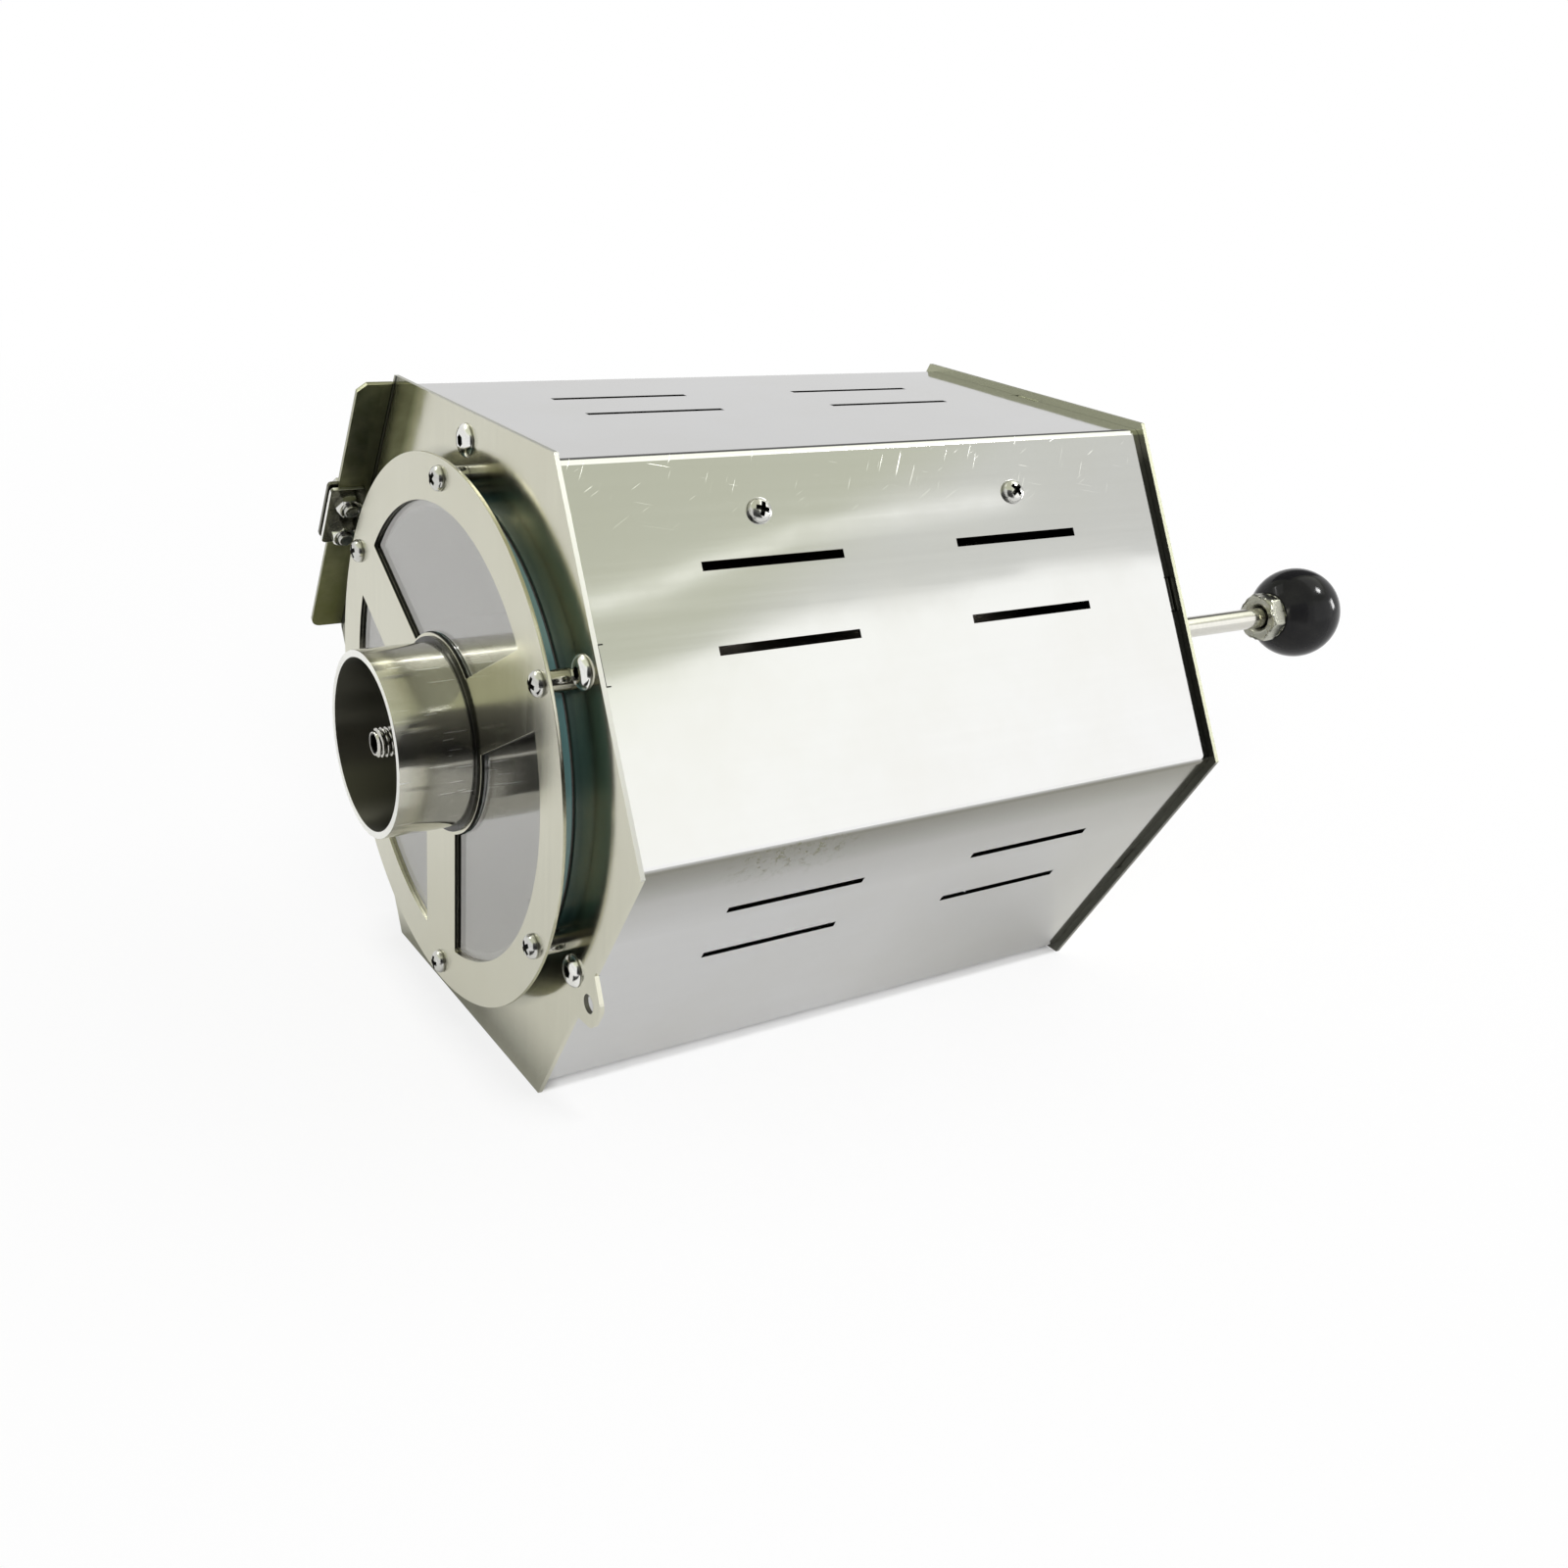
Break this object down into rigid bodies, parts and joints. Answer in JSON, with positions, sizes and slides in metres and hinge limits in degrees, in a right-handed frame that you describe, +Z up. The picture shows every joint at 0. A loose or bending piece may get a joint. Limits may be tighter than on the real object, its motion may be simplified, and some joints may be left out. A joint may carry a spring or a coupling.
{
  "type": "coffee roaster",
  "caption": "Hexagonal steel drum coffee roaster, open below to the flame, with a glass front, a feed tube and a turning drum on a spindle that ends in a ball knob.",
  "frame": {"origin": "middle of the object's box in x and y, on the surface the end plates' bottom edges stand on", "axes": "+Y along the drum axis from the feed tube to the ball knob, +Z up, +X to the right seen from the feed tube"},
  "size_m": [0.24, 0.456, 0.2078],
  "materials": {
    "plate_steel": "bright rolled",
    "shell_steel": "satin rolled",
    "inner_steel": "satin",
    "turned_steel": "turned",
    "clip_steel": "satin",
    "fastener_steel": "bright",
    "glass": "polished",
    "seal_cord": "pressed fibre",
    "bronze": "turned",
    "black_ball": "gloss"
  },
  "bodies": {
    "casing": {"front_plate": "plate_steel", "rear_plate": "plate_steel", "front_spider": "plate_steel", "casing_shell": "shell_steel", "top_baffle": "inner_steel", "bush_carrier": "inner_steel", "feed_tube": "turned_steel", "spacer_posts": "turned_steel", "bearing_flange": "turned_steel", "bearing_boss": "turned_steel", "wing_clip": "clip_steel", "tube_retaining_ring": "clip_steel", "shell_screws": "fastener_steel", "shell_nuts": "fastener_steel", "front_tab_screws": "fastener_steel", "front_tab_nuts": "fastener_steel", "rear_tab_screws": "fastener_steel", "rear_tab_nuts": "fastener_steel", "clip_bolts": "fastener_steel", "clip_nuts": "fastener_steel", "spider_screws": "fastener_steel", "post_screws": "fastener_steel", "housing_screws": "fastener_steel", "housing_nuts": "fastener_steel", "sight_glass": "glass", "glass_seal": "seal_cord", "front_bush": "bronze", "rear_bush": "bronze"},
    "drum": {"drum_shell": "inner_steel", "drum_back": "inner_steel", "drum_vanes": "inner_steel", "vane_rivets": "fastener_steel", "drum_front_arms": "inner_steel", "arm_rivets": "fastener_steel", "drum_hub": "turned_steel", "hub_screws": "fastener_steel", "set_screws": "fastener_steel", "spindle": "turned_steel", "thrust_washers": "turned_steel", "shaft_collar": "turned_steel", "ball_lock_nut": "turned_steel", "ball_knob": "black_ball"}
  },
  "joints": [
    {"name": "drum_spin", "type": "hinge", "parent": "casing", "child": "drum", "pos_m": [0, -0.094, 0.10392], "axis": [0, 1, 0], "continuous": true}
  ]
}
